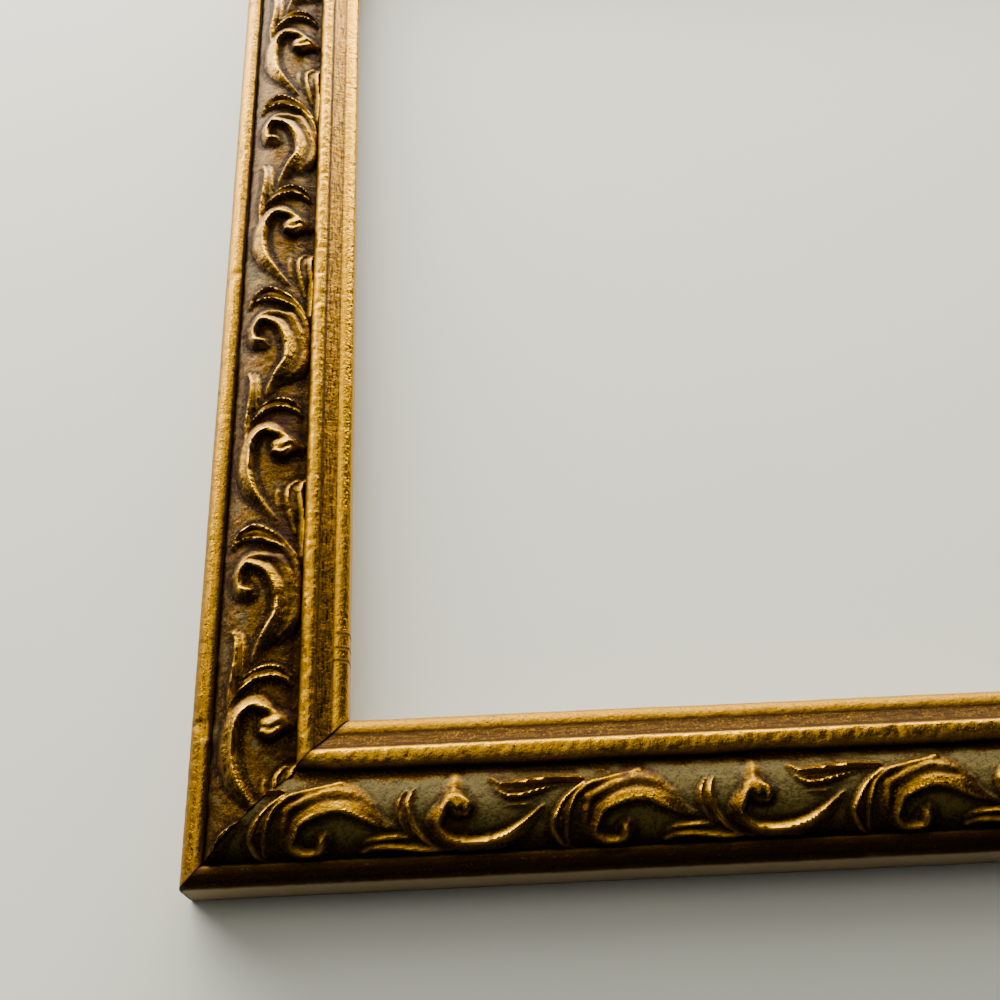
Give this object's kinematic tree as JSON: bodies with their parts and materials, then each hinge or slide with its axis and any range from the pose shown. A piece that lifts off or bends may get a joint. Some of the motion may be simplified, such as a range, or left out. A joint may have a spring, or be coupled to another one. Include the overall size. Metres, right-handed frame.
{
  "type": "picture frame",
  "caption": "Rectangular gilded wooden picture frame with a running scroll ornament, rabbet, strap hangers with swinging rings and turn buttons.",
  "frame": {"origin": "under the middle of the frame, on the plane of its back", "axes": "+X along the bottom rail to the right, +Y up the picture along the long side, +Z out of the face"},
  "size_m": [0.2516, 0.3024, 0.0151],
  "materials": {
    "gilded_wood": "worn gold leaf over dark red bole on the face, bare brown wood on the back",
    "gilded_composition": "pressed composition, worn gold leaf with a dark olive ground",
    "bright_steel": "bare",
    "nickel_plated_steel": "nickel plated",
    "brass": "satin"
  },
  "bodies": {
    "frame": {"bottom_rail": "gilded_wood", "right_rail": "gilded_wood", "top_rail": "gilded_wood", "left_rail": "gilded_wood", "bottom_ornament": "gilded_composition", "right_ornament": "gilded_composition", "top_ornament": "gilded_composition", "left_ornament": "gilded_composition", "bottom_left_v_nails": "bright_steel", "bottom_right_v_nails": "bright_steel", "top_right_v_nails": "bright_steel", "top_left_v_nails": "bright_steel", "left_hanger_plate": "nickel_plated_steel", "left_hanger_screws": "nickel_plated_steel", "right_hanger_plate": "nickel_plated_steel", "right_hanger_screws": "nickel_plated_steel", "bottom_button_screw": "brass", "right_button_screw": "brass", "top_button_screw": "brass", "left_button_screw": "brass"},
    "left_ring": {"left_hanger_ring": "nickel_plated_steel"},
    "right_ring": {"right_hanger_ring": "nickel_plated_steel"},
    "bottom_button": {"bottom_turn_button": "brass"},
    "right_button": {"right_turn_button": "brass"},
    "top_button": {"top_turn_button": "brass"},
    "left_button": {"left_turn_button": "brass"}
  },
  "joints": [
    {"name": "left_ring_swing", "type": "hinge", "parent": "frame", "child": "left_ring", "pos_m": [-0.1138, 0.0552, 0.00164], "axis": [-1, 0, 0], "range_deg": [0, 150]},
    {"name": "right_ring_swing", "type": "hinge", "parent": "frame", "child": "right_ring", "pos_m": [0.1138, 0.0552, 0.00164], "axis": [-1, 0, 0], "range_deg": [0, 150]},
    {"name": "bottom_button_turn", "type": "hinge", "parent": "frame", "child": "bottom_button", "pos_m": [0, -0.1332, 0.00175], "axis": [0, 0, 1], "range_deg": [0, 180]},
    {"name": "right_button_turn", "type": "hinge", "parent": "frame", "child": "right_button", "pos_m": [0.1078, 0, 0.00175], "axis": [0, 0, 1], "range_deg": [0, 180]},
    {"name": "top_button_turn", "type": "hinge", "parent": "frame", "child": "top_button", "pos_m": [0, 0.1332, 0.00175], "axis": [0, 0, 1], "range_deg": [0, 180]},
    {"name": "left_button_turn", "type": "hinge", "parent": "frame", "child": "left_button", "pos_m": [-0.1078, 0, 0.00175], "axis": [0, 0, 1], "range_deg": [0, 180]}
  ]
}
